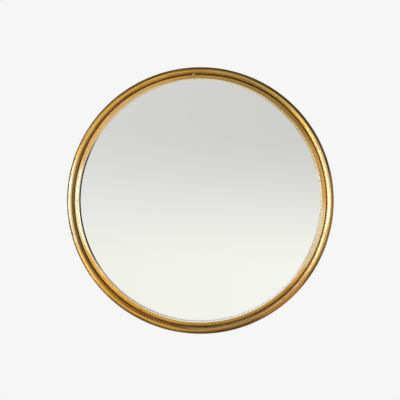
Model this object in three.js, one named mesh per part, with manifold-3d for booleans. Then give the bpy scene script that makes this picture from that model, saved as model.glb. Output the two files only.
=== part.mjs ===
// A round convex butler's mirror: a domed, silvered glass in a rolled brass frame, held from behind by a
// board under six turn buttons, and hung from two D-rings.
//
// Millimetres. The mirror's axis is Y: the wall is the plane y = 0, the glass looks along -Y, and +Z is up.
// A "depth" below is the distance in front of the wall, so a point at depth d has y = -d.
import * as THREE from "three";
import { mergeVertices } from "three/addons/utils/BufferGeometryUtils.js";
import Module from "manifold-3d";

const wasm = await Module();
wasm.setup();

// ---------------------------------------------------------------- driving dimensions

// The whole mirror.
const overallDiameter = 450;
const wallSpace = 7; // from the wall to the back of the frame, held by the bumpers
const seatGap = 0.3; // between two pieces that touch
const ringFacets = 72; // round every large ring

// Bead: round brass tube rolled into a ring, its two ends butted just left of the top.
const beadDiameter = 12;
const beadWall = 1;
const beadFacets = 16;
const beadBoreFacets = 8;
const jointSlit = 0.4;
const jointAngle = THREE.MathUtils.degToRad(-2.6);

// Braze that fills the groove beside the bead's joint.
const brazeAngle = THREE.MathUtils.degToRad(-3.3);
const brazeLength = 7;
const brazeWidth = 3.2;
const brazeHeight = 1.8;

// Sight ring: flat brass bar rolled on edge, the flange that the glass looks through. Its inner edge is
// turned down in a lip that hides the gasket.
const sightWidth = 8;
const sightThickness = 2.5; // at its inner edge
const sightFall = 1; // how much lower its face is at the outer edge
const sightProud = 1.5; // how far its inner edge stands in front of the tube's centre line
const sightEase = 0.5; // chamfer on its inner edge
const grooveEase = 1.2; // chamfer on its outer edge, beside the bead
const lipWidth = 0.6;

// Band: the strip behind the sight ring that the glass and the board drop into.
const bandWall = 2;
const bandDepth = 16;

// Glass: a slumped disc of even thickness, silvered on its back.
const glassThickness = 3;
const domeRadius = 700;
const domeSteps = 8; // facets from the centre to the rim
const glassEdgeSpace = 1.5;

// Foam gasket in front of the glass, foam packing behind it, and the board.
const gasketThickness = 0.8; // at its thin inner edge
const packingWidth = 12;
const boardThickness = 5;
const boardEdgeSpace = 0.8;

// Lugs brazed round the outside of the band, hidden behind the bead.
const lugCount = 6;
const lugFirstAngle = THREE.MathUtils.degToRad(30);
const lugWidth = 14;
const lugThickness = 2;
const lugSetback = 1; // from the bead's outside
const lugHeadroom = 2; // between a lug and the bead

// Turn buttons on the lugs.
const buttonReach = 21; // from the pivot to the tip
const buttonWidth = 10;
const buttonThickness = 1.2;
const buttonScrewLength = 8;

// M4 hardware, the same on the buttons and the hangers.
const screwDiameter = 4;
const screwHeadDiameter = 7.6;
const screwHeadHeight = 2.2;
const screwCrownDiameter = 5.3; // of the flat on top of the head
const holeAllowance = 0.5; // on the diameter of a hole
const washerDiameter = 9;
const washerThickness = 0.8;
const nutAcrossFlats = 7;
const nutThickness = 3.2;
const screwFacets = 12;
const washerFacets = 16;

// Hangers: a folded strap bolted to the board, and a D-ring of bent wire in its loop.
const hangerInset = 47; // from the board's edge to the strap's loop
const hangerAngle = THREE.MathUtils.degToRad(42.5);
const strapWidth = 11;
const strapSheet = 1;
const strapLength = 12.5; // from the loop's axis to the end of the tongue
const strapBoltDrop = 6.8; // from the loop's axis to the bolt
const hangerBoltProud = 1; // past the nut
const wireDiameter = 2.5;
const wireClearance = 0.25; // round the wire in its loop
const wireFacets = 8;
const wireSteps = 48;
const ringInnerWidth = 18;
const ringInnerHeight = 14; // from the bar's centre line to the inside of the bow
const ringCornerRadius = 2.5;
const wireEndGap = 0.4; // between the wire's ends, in the middle of the bar

// Rubber bumpers that hold the lower edge off the wall.
const bumperDiameter = 14;
const bumperFootDiameter = 11;
const bumperInset = 20; // from the board's edge to the bumper's centre
const bumperAngle = THREE.MathUtils.degToRad(20); // each side of the bottom
const bumperFacets = 24;

// ---------------------------------------------------------------- sizes that follow

const overallRadius = overallDiameter / 2;
const beadRadius = beadDiameter / 2;
const beadCircle = overallRadius - beadRadius; // radius of the tube's centre line
const bandOuter = beadCircle - beadRadius - seatGap;
const bandInner = bandOuter - bandWall;
const sightOuter = bandOuter;
const sightInner = sightOuter - sightWidth;
const sightBack = wallSpace + bandDepth;
const sightFront = sightBack + sightThickness;
const sightFace = (radius) => sightFront - (sightFall * (radius - sightInner)) / sightWidth;
const beadDepth = sightFront - sightProud; // depth of the tube's centre line

const glassRadius = bandInner - glassEdgeSpace;
const glassSeat = sightBack - gasketThickness - 2 * seatGap; // the glass's face under the sight edge
const domeCentre = glassSeat - Math.sqrt(domeRadius ** 2 - sightInner ** 2);
const glassFace = (radius) => domeCentre + Math.sqrt(domeRadius ** 2 - radius ** 2);
const glassBack = (radius) => domeCentre + Math.sqrt((domeRadius - glassThickness) ** 2 - radius ** 2);

const boardRadius = bandInner - boardEdgeSpace;
const boardFront = wallSpace + boardThickness;

const lugInner = bandOuter + seatGap;
const lugOuter = overallRadius - lugSetback;
const lugFoot = beadDepth - beadRadius - lugHeadroom; // depth that its foot reaches along the band
const pivotCircle = (lugInner + lugOuter) / 2;

const screwHole = screwDiameter + holeAllowance;
const buttonBack = wallSpace - seatGap - buttonThickness;
const buttonWasherBack = buttonBack - seatGap - washerThickness;

const strapBack = wallSpace - seatGap - 2 * strapSheet;
const wireRadius = wireDiameter / 2;
const loopBore = wireRadius + wireClearance;
const loopRadius = loopBore + strapSheet;
const loopDepth = wallSpace - seatGap - loopRadius; // depth of the loop's axis
const ringHalfWidth = ringInnerWidth / 2 + wireRadius; // of the wire's centre line
const ringHeight = ringInnerHeight + wireRadius;
const ringLean = Math.asin((loopRadius - wireRadius) / ringHeight); // so that the bow lies on the board
const hangerCircle = boardRadius - hangerInset;
const bumperCircle = boardRadius - bumperInset;

// ---------------------------------------------------------------- materials

function finish(color, roughness, metalness) {
  return new THREE.MeshStandardMaterial({ color, roughness, metalness });
}

const agedBrass = finish(0xb8893f, 0.38, 1);
const silveredGlass = finish(0xe6e8e4, 0.03, 1);
const blackFoam = finish(0x1c1c1c, 0.95, 0);
const greyFoam = finish(0x55575a, 0.95, 0);
const blackBoard = finish(0x232120, 0.8, 0);
const zincPlate = finish(0xb4b3ab, 0.35, 1);
const rubber = finish(0x161616, 0.7, 0);

// ---------------------------------------------------------------- shaping helpers

// A piece turned about the mirror's axis. The profile lists [radius, depth] clockwise, with depth upwards,
// and either closes on itself or starts and ends at radius 0.
function turned(profile, facets = ringFacets) {
  const points = profile.map(([radius, depth]) => new THREE.Vector2(radius, -depth));
  return new THREE.LatheGeometry(points, facets);
}

// A ring of any closed section.
function turnedRing(section, facets = ringFacets) {
  return turned([...section, section[0]], facets);
}

// The section of a round bar or bore at a given radius and depth.
function roundSection(circle, depth, radius, facets) {
  return Array.from({ length: facets }, (_, i) => {
    const angle = (-2 * Math.PI * i) / facets;
    return [circle + radius * Math.cos(angle), depth + radius * Math.sin(angle)];
  });
}

// A flat plate cut to an outline in X and Z, from one depth to a greater one.
function plate(outline, back, front, curveSegments = 6) {
  const settings = { depth: front - back, bevelEnabled: false, curveSegments };
  return new THREE.ExtrudeGeometry(outline, settings).rotateX(Math.PI / 2).translate(0, -back, 0);
}

// A straight-sided block between two corners, in X, depth and Z.
function block([x0, back, z0], [x1, front, z1]) {
  return new THREE.BoxGeometry(x1 - x0, front - back, z1 - z0).translate(
    (x0 + x1) / 2,
    -(back + front) / 2,
    (z0 + z1) / 2,
  );
}

// A round rod along Y, used for drilling.
function rod(diameter, back, front, x = 0, z = 0) {
  const [radius, length] = [diameter / 2, front - back];
  return new THREE.CylinderGeometry(radius, radius, length, screwFacets).translate(x, -back - length / 2, z);
}

// A closed geometry as a solid that can be joined and cut.
function solid(geometry) {
  const bare = geometry.clone();
  bare.deleteAttribute("normal");
  bare.deleteAttribute("uv");
  const merged = mergeVertices(bare, 1e-4);
  return new wasm.Manifold(
    new wasm.Mesh({
      numProp: 3,
      vertProperties: merged.attributes.position.array,
      triVerts: new Uint32Array(merged.index.array),
    }),
  );
}

// The geometry of a solid.
function geometryOf(body) {
  const { vertProperties, triVerts } = body.getMesh();
  const geometry = new THREE.BufferGeometry();
  geometry.setAttribute("position", new THREE.BufferAttribute(vertProperties, 3));
  geometry.setIndex(new THREE.BufferAttribute(triVerts, 1));
  geometry.computeVertexNormals();
  return geometry;
}

function piece(name, geometry, material) {
  const mesh = new THREE.Mesh(geometry, material);
  mesh.name = name;
  return mesh;
}

// A group turned about the mirror's axis, clockwise from the top as the wall sees it from the front.
function stationAt(angle, ...pieces) {
  const station = new THREE.Group();
  station.rotation.y = angle;
  station.add(...pieces);
  return station;
}

// ---------------------------------------------------------------- frame

// The tube is hollow, and open where its two ends meet at the joint.
function beadTube() {
  const outside = turnedRing(roundSection(beadCircle, beadDepth, beadRadius, beadFacets));
  const bore = turnedRing(roundSection(beadCircle, beadDepth, beadRadius - beadWall, beadBoreFacets));
  const slit = block(
    [-jointSlit / 2, beadDepth - beadDiameter, beadCircle - beadDiameter],
    [jointSlit / 2, beadDepth + beadDiameter, beadCircle + beadDiameter],
  ).rotateY(jointAngle);
  const tube = solid(outside).subtract(solid(bore)).subtract(solid(slit));
  return piece("bead_tube", geometryOf(tube), agedBrass);
}

function sightRing() {
  const section = [
    [sightInner + sightEase, sightFace(sightInner + sightEase)],
    [sightOuter - grooveEase, sightFace(sightOuter - grooveEase)],
    [sightOuter, sightFace(sightOuter) - grooveEase],
    [sightOuter, sightBack],
    [sightInner + lipWidth, sightBack],
    [sightInner + lipWidth, glassFace(sightInner) + seatGap],
    [sightInner, glassFace(sightInner) + seatGap],
    [sightInner, sightFront - sightEase],
  ];
  return piece("sight_ring", turnedRing(section), agedBrass);
}

function frameBand() {
  const front = sightBack - seatGap;
  const section = [
    [bandInner, front],
    [bandOuter, front],
    [bandOuter, wallSpace],
    [bandInner, wallSpace],
  ];
  return piece("frame_band", turnedRing(section), agedBrass);
}

// A drop of braze that lies on the sight ring's face and against the bead.
function jointBraze() {
  const drop = new THREE.SphereGeometry(0.5, 16, 10)
    .scale(brazeLength, 2 * brazeHeight, brazeWidth)
    .translate(0, -sightFace(sightOuter), sightOuter)
    .rotateY(brazeAngle);
  const beadSpace = turnedRing(roundSection(beadCircle, beadDepth, beadRadius + seatGap, 2 * beadFacets));
  const ringSpace = turnedRing([
    [sightInner, sightFront + seatGap],
    [beadCircle, sightFace(beadCircle) + seatGap],
    [beadCircle, sightBack - brazeHeight],
    [sightInner, sightBack - brazeHeight],
  ]);
  const braze = solid(drop).subtract(solid(beadSpace)).subtract(solid(ringSpace));
  return piece("joint_braze", geometryOf(braze), agedBrass);
}

// ---------------------------------------------------------------- glass and what holds it

function convexGlass() {
  const radii = Array.from({ length: domeSteps + 1 }, (_, i) => (glassRadius * i) / domeSteps);
  const face = radii.map((radius) => [radius, glassFace(radius)]);
  const back = radii.reverse().map((radius) => [radius, glassBack(radius)]);
  return piece("convex_glass", turned([...face, ...back]), silveredGlass);
}

// A wedge of foam between the flat flange and the sloping glass, behind the lip.
function glassGasket() {
  const inner = sightInner + lipWidth + seatGap;
  const front = sightBack - seatGap;
  const section = [
    [inner, front],
    [glassRadius, front],
    [glassRadius, glassFace(glassRadius) + seatGap],
    [inner, glassFace(inner) + seatGap],
  ];
  return piece("glass_gasket", turnedRing(section), blackFoam);
}

function packingRing() {
  const inner = glassRadius - packingWidth;
  const back = boardFront + seatGap;
  const section = [
    [inner, glassBack(inner) - seatGap],
    [glassRadius, glassBack(glassRadius) - seatGap],
    [glassRadius, back],
    [inner, back],
  ];
  return piece("packing_ring", turnedRing(section), greyFoam);
}

// The board is drilled for the two hanger bolts.
function backBoard() {
  let board = solid(
    turned([
      [0, boardFront],
      [boardRadius, boardFront],
      [boardRadius, wallSpace],
      [0, wallSpace],
    ]),
  );
  for (const side of [-1, 1]) {
    const { x, z } = hangerPlace(side);
    board = board.subtract(solid(rod(screwHole, wallSpace - 1, boardFront + 1, x, z - strapBoltDrop)));
  }
  return piece("back_board", geometryOf(board), blackBoard);
}

// ---------------------------------------------------------------- screws, washers and nuts

// A pan-head screw on the Y axis, its head's underside at one depth and its shank running forward.
function panHeadScrew(name, underHead, shankLength) {
  const headRadius = screwHeadDiameter / 2;
  const shankRadius = screwDiameter / 2;
  const headBack = underHead - screwHeadHeight;
  const crownRadius = screwCrownDiameter / 2;
  const profile = [
    [0, underHead + shankLength],
    [shankRadius, underHead + shankLength],
    [shankRadius, underHead],
    [headRadius, underHead],
    [headRadius, underHead - screwHeadHeight / 2],
    [crownRadius, headBack],
    [0, headBack],
  ];
  return piece(name, turned(profile, screwFacets), zincPlate);
}

function flatWasher(name, back) {
  const section = [
    [screwHole / 2, back + washerThickness],
    [washerDiameter / 2, back + washerThickness],
    [washerDiameter / 2, back],
    [screwHole / 2, back],
  ];
  return piece(name, turnedRing(section, washerFacets), zincPlate);
}

function hexNut(name, back) {
  const corner = nutAcrossFlats / Math.sqrt(3);
  const hexagon = new THREE.Shape();
  for (let i = 0; i < 6; i++) {
    const angle = (Math.PI * i) / 3;
    hexagon[i ? "lineTo" : "moveTo"](corner * Math.cos(angle), corner * Math.sin(angle));
  }
  hexagon.holes.push(new THREE.Path().absarc(0, 0, screwHole / 2, 0, 2 * Math.PI, true));
  return piece(name, plate(hexagon, back, back + nutThickness), zincPlate);
}

// ---------------------------------------------------------------- turn buttons

// A bent tab: its foot lies along the band, and its flange, flush with the board, is tapped for the screw.
function buttonLug(name) {
  const halfWidth = lugWidth / 2;
  const flange = block([-halfWidth, wallSpace, lugInner], [halfWidth, wallSpace + lugThickness, lugOuter]);
  const foot = block([-halfWidth, wallSpace, lugInner], [halfWidth, lugFoot, lugInner + lugThickness]);
  const hole = rod(screwHole, wallSpace - 1, wallSpace + lugThickness + 1, 0, pivotCircle);
  const lug = solid(flange).add(solid(foot)).subtract(solid(hole));
  return piece(name, geometryOf(lug), agedBrass);
}

// A flat plate with round ends, drilled at its pivot, that points inwards over the board's edge.
function turnButton(name) {
  const endRadius = buttonWidth / 2;
  const tipCentre = pivotCircle - buttonReach + endRadius;
  const outline = new THREE.Shape()
    .absarc(0, pivotCircle, endRadius, 0, Math.PI, false)
    .absarc(0, tipCentre, endRadius, Math.PI, 2 * Math.PI, false)
    .closePath();
  outline.holes.push(new THREE.Path().absarc(0, pivotCircle, screwHole / 2, 0, 2 * Math.PI, true));
  return piece(name, plate(outline, buttonBack, buttonBack + buttonThickness), zincPlate);
}

function turnButtonStation(number) {
  const screw = panHeadScrew(`button_screw_${number}`, buttonWasherBack - seatGap, buttonScrewLength);
  const washer = flatWasher(`button_washer_${number}`, buttonWasherBack);
  for (const part of [screw, washer]) part.position.z = pivotCircle;
  return stationAt(
    lugFirstAngle + (2 * Math.PI * (number - 1)) / lugCount,
    buttonLug(`button_lug_${number}`),
    turnButton(`turn_button_${number}`),
    washer,
    screw,
  );
}

// ---------------------------------------------------------------- hangers

// Where a strap's loop lies: side -1 is to the left of the front view, and 1 to its right.
function hangerPlace(side) {
  return { x: side * hangerCircle * Math.sin(hangerAngle), z: hangerCircle * Math.cos(hangerAngle) };
}

// A strip folded round the D-ring's bar. Its side view is a loop with a tongue, and its plan has a round end.
function hangerStrap(name) {
  const tongueHeight = 2 * strapSheet;
  const meet = Math.asin((tongueHeight - loopRadius) / loopRadius); // where the tongue leaves the loop
  const side = new THREE.Shape()
    .moveTo(-strapLength, 0)
    .lineTo(0, 0)
    .absarc(0, loopRadius, loopRadius, -Math.PI / 2, Math.PI - meet, false)
    .lineTo(-strapLength, tongueHeight)
    .closePath();
  side.holes.push(new THREE.Path().absarc(0, loopRadius, loopBore, 0, 2 * Math.PI, true));
  const folded = new THREE.ExtrudeGeometry(side, { depth: strapWidth, bevelEnabled: false, curveSegments: 8 })
    .translate(0, 0, -strapWidth / 2)
    .applyMatrix4(
      new THREE.Matrix4().makeBasis(
        new THREE.Vector3(0, 0, 1), // the side view's length runs up
        new THREE.Vector3(0, 1, 0), // its height runs from the board to the wall
        new THREE.Vector3(-1, 0, 0), // and the fold runs across
      ),
    )
    .translate(0, -(wallSpace - seatGap), 0);
  const endRadius = strapWidth / 2;
  const plan = new THREE.Shape()
    .moveTo(endRadius, 2 * loopRadius)
    .lineTo(-endRadius, 2 * loopRadius)
    .absarc(0, endRadius - strapLength, endRadius, Math.PI, 2 * Math.PI, false)
    .closePath();
  const blank = plate(plan, strapBack - 2 * loopRadius, wallSpace, 8);
  const hole = rod(screwHole, strapBack - 2, wallSpace + 1, 0, -strapBoltDrop);
  return piece(name, geometryOf(solid(folded).intersect(solid(blank)).subtract(solid(hole))), zincPlate);
}

// The line of the D-ring's wire, in X and Z from the middle of its bar: right half, bow, left half.
class DRingLine extends THREE.Curve {
  constructor() {
    super();
    const bowCentre = ringHeight - ringHalfWidth;
    const corner = ringCornerRadius;
    this.outline = new THREE.Path()
      .moveTo(wireEndGap / 2, 0)
      .lineTo(ringHalfWidth - corner, 0)
      .absarc(ringHalfWidth - corner, corner, corner, -Math.PI / 2, 0, false)
      .lineTo(ringHalfWidth, bowCentre)
      .absarc(0, bowCentre, ringHalfWidth, 0, Math.PI, false)
      .lineTo(-ringHalfWidth, corner)
      .absarc(corner - ringHalfWidth, corner, corner, Math.PI, 1.5 * Math.PI, false)
      .lineTo(-wireEndGap / 2, 0);
  }

  getPoint(t, target = new THREE.Vector3()) {
    const { x, y } = this.outline.getPoint(t);
    return target.set(x, 0, y);
  }
}

function hangerRing(name) {
  const section = new THREE.Shape(
    Array.from({ length: wireFacets }, (_, i) => {
      const angle = (2 * Math.PI * i) / wireFacets;
      return new THREE.Vector2(wireRadius * Math.cos(angle), wireRadius * Math.sin(angle));
    }),
  );
  const geometry = new THREE.ExtrudeGeometry(section, { steps: wireSteps, extrudePath: new DRingLine() });
  const ring = piece(name, geometry, zincPlate);
  ring.position.y = -loopDepth;
  ring.rotation.x = ringLean;
  return ring;
}

// A hanger, bolted through the board with a washer and a nut inside.
function hanger(side, label) {
  const washerBack = boardFront + seatGap;
  const nutBack = washerBack + washerThickness + seatGap;
  const underHead = strapBack - seatGap;
  const boltTip = nutBack + nutThickness + hangerBoltProud;
  const bolt = panHeadScrew(`hanger_bolt_${label}`, underHead, boltTip - underHead);
  const washer = flatWasher(`hanger_washer_${label}`, washerBack);
  const nut = hexNut(`hanger_nut_${label}`, nutBack);
  for (const part of [bolt, washer, nut]) part.position.z = -strapBoltDrop;
  const group = new THREE.Group();
  const { x, z } = hangerPlace(side);
  group.position.set(x, 0, z);
  group.add(hangerStrap(`hanger_strap_${label}`), hangerRing(`hanger_ring_${label}`), bolt, washer, nut);
  return group;
}

// ---------------------------------------------------------------- bumpers

function wallBumper(name, angle) {
  const profile = [
    [0, wallSpace - seatGap],
    [bumperDiameter / 2, wallSpace - seatGap],
    [bumperDiameter / 2, wallSpace / 3],
    [bumperFootDiameter / 2, 0],
    [0, 0],
  ];
  const bumper = piece(name, turned(profile, bumperFacets), rubber);
  bumper.position.z = bumperCircle;
  return stationAt(angle, bumper);
}

// ---------------------------------------------------------------- the mirror

const mirror = new THREE.Group();
mirror.add(beadTube(), sightRing(), frameBand(), jointBraze());
mirror.add(convexGlass(), glassGasket(), packingRing(), backBoard());
for (let number = 1; number <= lugCount; number++) mirror.add(turnButtonStation(number));
mirror.add(hanger(-1, "left"), hanger(1, "right"));
mirror.add(wallBumper("wall_bumper_right", Math.PI - bumperAngle));
mirror.add(wallBumper("wall_bumper_left", Math.PI + bumperAngle));

export default mirror;
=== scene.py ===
"""The looks of a round convex butler's mirror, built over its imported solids.

Metres. The mirror's axis is Y: the wall is the plane y = 0, the glass looks along -Y, and +Z is up. A
"depth" is the distance in front of the wall, so a point at depth d has y = -d. An angle round the mirror
runs clockwise from the top, as the front is seen.
"""
import math
import bmesh
import bpy
import numpy as np
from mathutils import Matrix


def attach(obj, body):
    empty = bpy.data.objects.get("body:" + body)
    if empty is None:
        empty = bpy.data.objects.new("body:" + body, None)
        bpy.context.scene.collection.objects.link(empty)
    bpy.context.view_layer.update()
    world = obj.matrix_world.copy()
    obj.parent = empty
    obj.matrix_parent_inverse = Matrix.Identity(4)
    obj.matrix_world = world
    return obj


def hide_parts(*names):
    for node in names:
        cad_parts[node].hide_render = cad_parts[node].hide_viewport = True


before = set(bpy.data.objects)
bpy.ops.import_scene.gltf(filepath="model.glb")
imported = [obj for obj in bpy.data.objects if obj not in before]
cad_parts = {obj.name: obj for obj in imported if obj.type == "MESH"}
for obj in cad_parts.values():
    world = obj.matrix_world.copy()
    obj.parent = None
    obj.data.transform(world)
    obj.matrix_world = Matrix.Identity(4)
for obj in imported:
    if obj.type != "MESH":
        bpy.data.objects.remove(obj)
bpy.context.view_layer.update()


# Camera. Square on to the mirror and level with its centre, far enough away to look almost flat. Its lens
# is shifted, because the photograph's mirror is a little off the middle.
camera_distance = 1.8
view_half_height = 0.3373  # at the bead, half of what the picture takes in
picture_size = 400  # pixels, as are the next two
off_to_right = 0.4
off_downwards = 0.5
bead_circle = 0.219
bead_depth = 0.024
lens = bpy.data.cameras.new("camera")
lens.sensor_fit = "HORIZONTAL"
lens.angle = 2 * math.atan(view_half_height / (camera_distance - bead_depth))
lens.shift_x = -off_to_right / picture_size
lens.shift_y = off_downwards / picture_size
camera = bpy.data.objects.new("camera", lens)
camera.location = (0, -camera_distance, 0)
camera.rotation_euler = (math.pi / 2, 0, 0)
bpy.context.scene.collection.objects.link(camera)
bpy.context.scene.camera = camera
bpy.context.scene.view_settings.view_transform = "Standard"


# Studio. A pale room with a plain grey backdrop, which lights matt surfaces evenly. Metal reflects the wall
# of light behind the camera, the dimmer belt of the room round it and the glow of the key light. The glass,
# whose reflections are sharp, shows a more even room with hardly a trace of the lamp.
class Signal:
    """One value in a shader. Each operator adds a Math node and gives that node's result."""

    def __init__(self, tree, socket):
        self.tree = tree
        self.socket = socket

    def math(self, operation, first, second=0.0):
        return self.tree.node("ShaderNodeMath", {"operation": operation}, {0: first, 1: second})

    def __add__(self, other):
        return self.math("ADD", self, other)

    def __sub__(self, other):
        return self.math("SUBTRACT", self, other)

    def __rsub__(self, other):
        return self.math("SUBTRACT", other, self)

    def __mul__(self, other):
        return self.math("MULTIPLY", self, other)

    def __truediv__(self, other):
        return self.math("DIVIDE", self, other)

    def __rtruediv__(self, other):
        return self.math("DIVIDE", other, self)

    def __pow__(self, power):
        return self.math("POWER", self, power)

    def __neg__(self):
        return self.math("MULTIPLY", self, -1.0)

    __radd__ = __add__
    __rmul__ = __mul__


class Tree:
    """The nodes of one material or of the world."""

    def __init__(self, owner):
        owner.use_nodes = True
        self.nodes = owner.node_tree.nodes
        self.links = owner.node_tree.links
        self.nodes.clear()

    def node(self, kind, settings=None, sockets=None, output=0):
        """Adds a node of a type, makes its settings, then fills or links its sockets."""
        new = self.nodes.new(kind)
        for name, value in (settings or {}).items():
            setattr(new, name, value)
        for key, value in (sockets or {}).items():
            socket = new.inputs[key]
            if isinstance(value, Signal):
                self.links.new(value.socket, socket)
            elif socket.type == "RGBA" and len(value) == 3:
                socket.default_value = (*value, 1.0)
            else:
                socket.default_value = value
        return Signal(self, new.outputs[output]) if new.outputs else None

    def parts(self, vector):
        """The X, Y and Z of a vector."""
        split = "ShaderNodeSeparateXYZ"
        return [self.node(split, {}, {0: vector}, output) for output in range(3)]

    def joined(self, x, y, z):
        return self.node("ShaderNodeCombineXYZ", {}, {0: x, 1: y, 2: z})

    def rise(self, value, low, high, bottom=0.0, top=1.0):
        """A smooth step from one level at low to another at high."""
        sockets = {"Value": value, "From Min": low, "From Max": high, "To Min": bottom, "To Max": top}
        return self.node("ShaderNodeMapRange", {"interpolation_type": "SMOOTHSTEP"}, sockets)

    def blend(self, factor, first, second):
        """One colour where the factor is 0, and the other where it is 1."""
        return self.node("ShaderNodeMix", {"data_type": "RGBA"}, {0: factor, 6: first, 7: second}, 2)

    def noise(self, vector, scale, detail=2.0, roughness=0.5):
        sockets = {"Vector": vector, "Scale": scale, "Detail": detail, "Roughness": roughness}
        return self.node("ShaderNodeTexNoise", {}, sockets)

    def vector(self, operation, first, *others):
        """One sum on vectors. Scale takes a vector and a number, the others one or two vectors."""
        sockets = {"Scale" if operation == "SCALE" else 1: other for other in others}
        return self.node("ShaderNodeVectorMath", {"operation": operation}, {0: first, **sockets})

    def facing(self):
        """The way that the surface faces."""
        return self.node("ShaderNodeNewGeometry", {}, {}, "Normal")

    def place(self):
        """Where a point lies on the piece, in metres, since every piece sits at the origin."""
        return self.node("ShaderNodeTexCoord", {}, {}, 3)

    def bump(self, height, distance, normal=None):
        sockets = {"Height": height, "Distance": distance}
        if normal:
            sockets["Normal"] = normal
        return self.node("ShaderNodeBump", {}, sockets)

    def surface(self, sockets):
        shader = self.node("ShaderNodeBsdfPrincipled", {}, sockets)
        self.node("ShaderNodeOutputMaterial", {}, {"Surface": shader})


world = bpy.data.worlds.new("studio")
bpy.context.scene.world = world
room = Tree(world)
right, back, up = room.parts(room.node("ShaderNodeTexCoord", {}, {}, 0))
from_front = (-back).math("ARCCOSINE", -back)
sidelong = (right * right + up * up + 1e-4) ** 0.5
key_azimuth = -53  # degrees from straight in front, below zero at the left
key_elevation = -4
key_width = 0.9
key_tall = 4.4
key_distance = 4.0
key_radiance = 6.5


def room_side(angle, low):
    """Rises to 1 toward one side of the room, at an angle anticlockwise from the right."""
    a = math.radians(angle)
    return room.rise((right * math.cos(a) + up * math.sin(a)) / sidelong, low, 1.0)


def wall_light():
    """The wall behind the camera is brightest low down, and low down a little brighter at the right."""
    wall_reach = 0.56  # the sine of the angle from straight in front to the wall's edge
    height = up / wall_reach
    low_glow = room.rise(height, 0.75, -0.75)
    lower_right = -0.026 + 0.047 * room.rise(height, 0.4, -0.8)
    return 0.672 + 0.262 * low_glow + right / wall_reach * lower_right, low_glow


def lamp_glow():
    """The key light's upright strip, as metal shows it: soft across its width and toward both its ends."""
    side = math.radians(key_azimuth)
    drop = 0.07
    off_line = right * math.cos(side) + back * math.sin(side)
    in_front = right * math.sin(side) - back * math.cos(side)
    strip = room.rise(off_line ** 2, 0.16 ** 2, 0.07 ** 2) * room.rise(in_front, 0.2, 0.4)
    return strip * room.rise((up + drop) ** 2, 0.62 ** 2, 0.40 ** 2)


wall, low_glow = wall_light()
belt = 0.10 + 0.45 * room_side(182, 0.4) + 0.25 * room_side(350, 0.88) + 0.16 * room_side(262, 0.1)
rear = room.rise(from_front, 1.75, 2.3, 0.20, 0.80)
around_front = room.rise(from_front, 0.68, 0.86)
behind = room.rise(from_front, 1.3, 1.75)
in_metal = wall * (1 - around_front) + around_front * (belt * (1 - behind) + rear * behind)
in_glass = wall * room.rise(from_front, 0.72, 1.7, 1.0, 0.68)
glow = lamp_glow()
sharply = room.node("ShaderNodeLightPath", {}, {}, "Is Singular Ray")
reflected = (in_metal + key_radiance * glow) * (1 - sharply) + (in_glass + 0.12 * glow) * sharply
reflected_colour = room.joined(reflected, reflected, reflected * (0.985 - 0.02 * low_glow))
seen_in_metal = room.node("ShaderNodeLightPath", {}, {}, "Is Glossy Ray")
seen_directly = room.node("ShaderNodeLightPath", {}, {}, "Is Camera Ray")
seen_through = room.node("ShaderNodeLightPath", {}, {}, "Is Transmission Ray")
even_light = (0.72, 0.72, 0.72)
backdrop_grey = (0.9216, 0.9216, 0.9216)
sky = room.blend(seen_in_metal, even_light, reflected_colour)
sky = room.blend(seen_directly.math("MAXIMUM", seen_directly, seen_through), sky, backdrop_grey)
light = room.node("ShaderNodeBackground", {}, {"Color": sky, "Strength": 1.0})
room.node("ShaderNodeOutputWorld", {}, {"Surface": light})


def softbox(name, azimuth, elevation, width, tall, radiance, distance):
    """A lamp that faces the mirror. The power is the radiance times pi times the area. Nothing reflects the
    lamp itself, because the room's glow stands in its place."""
    lamp = bpy.data.lights.new(name, "AREA")
    lamp.shape = "RECTANGLE"
    lamp.size = width
    lamp.size_y = tall
    lamp.energy = radiance * math.pi * width * tall
    box = bpy.data.objects.new(name, lamp)
    turn, lift = math.radians(azimuth), math.radians(elevation)
    box.location = (
        distance * math.sin(turn) * math.cos(lift),
        -distance * math.cos(turn) * math.cos(lift),
        distance * math.sin(lift),
    )
    box.rotation_euler = (math.pi / 2 - lift, 0, turn)
    box.visible_glossy = False
    bpy.context.scene.collection.objects.link(box)


softbox("key_light", key_azimuth, key_elevation, key_width, key_tall, key_radiance, key_distance)


# Floor. A pale matt disc below the mirror. It catches the soft shadow, fades out towards its edge and shows
# in no reflection.
floor_level = -0.55
floor_radius = 0.9
floor_thickness = 0.004
crease_angle = 35  # degrees


def grid_faces(rows, columns, wrap_rows=False, wrap_columns=False):
    """The four corners of every face of a grid of points that are counted row by row."""
    row = np.arange(rows if wrap_rows else rows - 1)[:, None]
    column = np.arange(columns if wrap_columns else columns - 1)[None, :]
    far_row = (row + 1) % rows
    far_column = (column + 1) % columns
    corners = [(row, column), (row, far_column), (far_row, far_column), (far_row, column)]
    return np.stack([r * columns + c for r, c in corners], axis=-1).reshape(-1, 4).tolist()


def shell(name, points, faces, crease=crease_angle):
    """A closed mesh object: points that coincide are joined, faces point outwards, and edges that turn by
    more than the crease angle stay sharp."""
    mesh = bpy.data.meshes.new(name)
    mesh.from_pydata(points.reshape(-1, 3).tolist(), [], faces)
    work = bmesh.new()
    work.from_mesh(mesh)
    bmesh.ops.remove_doubles(work, verts=work.verts, dist=1e-7)
    if work.calc_volume(signed=True) < 0:
        bmesh.ops.reverse_faces(work, faces=work.faces)
    work.to_mesh(mesh)
    work.free()
    mesh.shade_smooth()
    mesh.set_sharp_from_angle(angle=math.radians(crease))
    made = bpy.data.objects.new(name, mesh)
    bpy.context.scene.collection.objects.link(made)
    return made


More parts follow.
